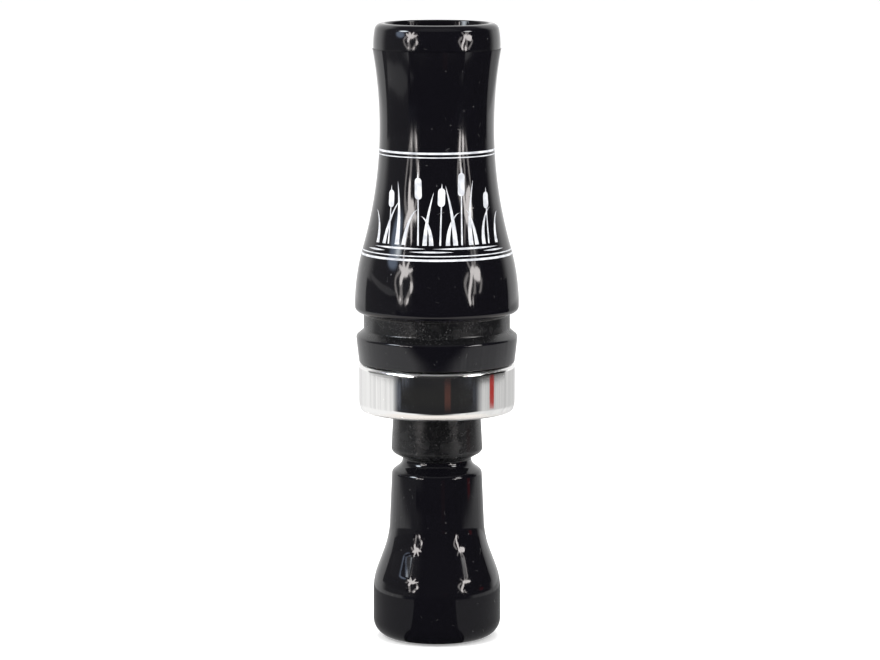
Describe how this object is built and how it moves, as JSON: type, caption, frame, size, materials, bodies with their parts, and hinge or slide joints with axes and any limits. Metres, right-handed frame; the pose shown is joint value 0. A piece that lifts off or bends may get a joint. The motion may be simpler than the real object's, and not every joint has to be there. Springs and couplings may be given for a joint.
{
  "type": "duck call",
  "caption": "Turned double-reed duck call: waisted barrel with a lanyard groove and metal band, and a pull-out insert with a bell end, O-rings, tone board, reeds and cork wedge.",
  "frame": {"origin": "centre of the bell's end face, on which the call stands", "axes": "+Z along the call's axis from the bell end to the mouth end; the reed side of the tone board faces -Y"},
  "size_m": [0.0334, 0.0334, 0.1252],
  "materials": {
    "barrel": "polished cast acrylic, with the lanyard groove left as turned",
    "band": "polished",
    "insert": "polished cast acrylic, with the stub, tenon and tone board left as turned and cut",
    "o_ring_rear": "satin",
    "o_ring_front": "satin",
    "reed_lower": "frosted polyester film",
    "reed_upper": "frosted polyester film",
    "reed_wedge": "ground cork"
  },
  "bodies": {
    "barrel": {"barrel": "barrel", "band": "band"},
    "seals": {"o_ring_rear": "o_ring_rear", "o_ring_front": "o_ring_front"},
    "insert": {"insert": "insert"},
    "wedge": {"reed_wedge": "reed_wedge"},
    "lower_reed": {"reed_lower": "reed_lower"},
    "upper_reed": {"reed_upper": "reed_upper"}
  },
  "joints": [
    {"name": "insert_pull", "type": "slide", "parent": "barrel", "child": "seals", "axis": [0, 0, -1], "range_m": [0, 0.075]},
    {"name": "insert_twist", "type": "hinge", "parent": "seals", "child": "insert", "pos_m": [0, 0, 0.04675], "axis": [0, 0, 1], "continuous": true},
    {"name": "wedge_pull", "type": "slide", "parent": "insert", "child": "wedge", "axis": [0, 0, 1], "range_m": [0, 0.055]},
    {"name": "lower_reed_flex", "type": "hinge", "parent": "wedge", "child": "lower_reed", "pos_m": [0, -0.00125, 0.0735], "axis": [1, 0, 0], "range_deg": [-1.2, 1.2], "stiffness_Nm_per_rad": 0.0095},
    {"name": "upper_reed_flex", "type": "hinge", "parent": "wedge", "child": "upper_reed", "pos_m": [0, -0.00183, 0.0735], "axis": [1, 0, 0], "range_deg": [-1.2, 1.2], "stiffness_Nm_per_rad": 0.0055}
  ],
  "couplings": [
    {"joint": "upper_reed_flex", "follows": "lower_reed_flex", "ratio": 1}
  ]
}
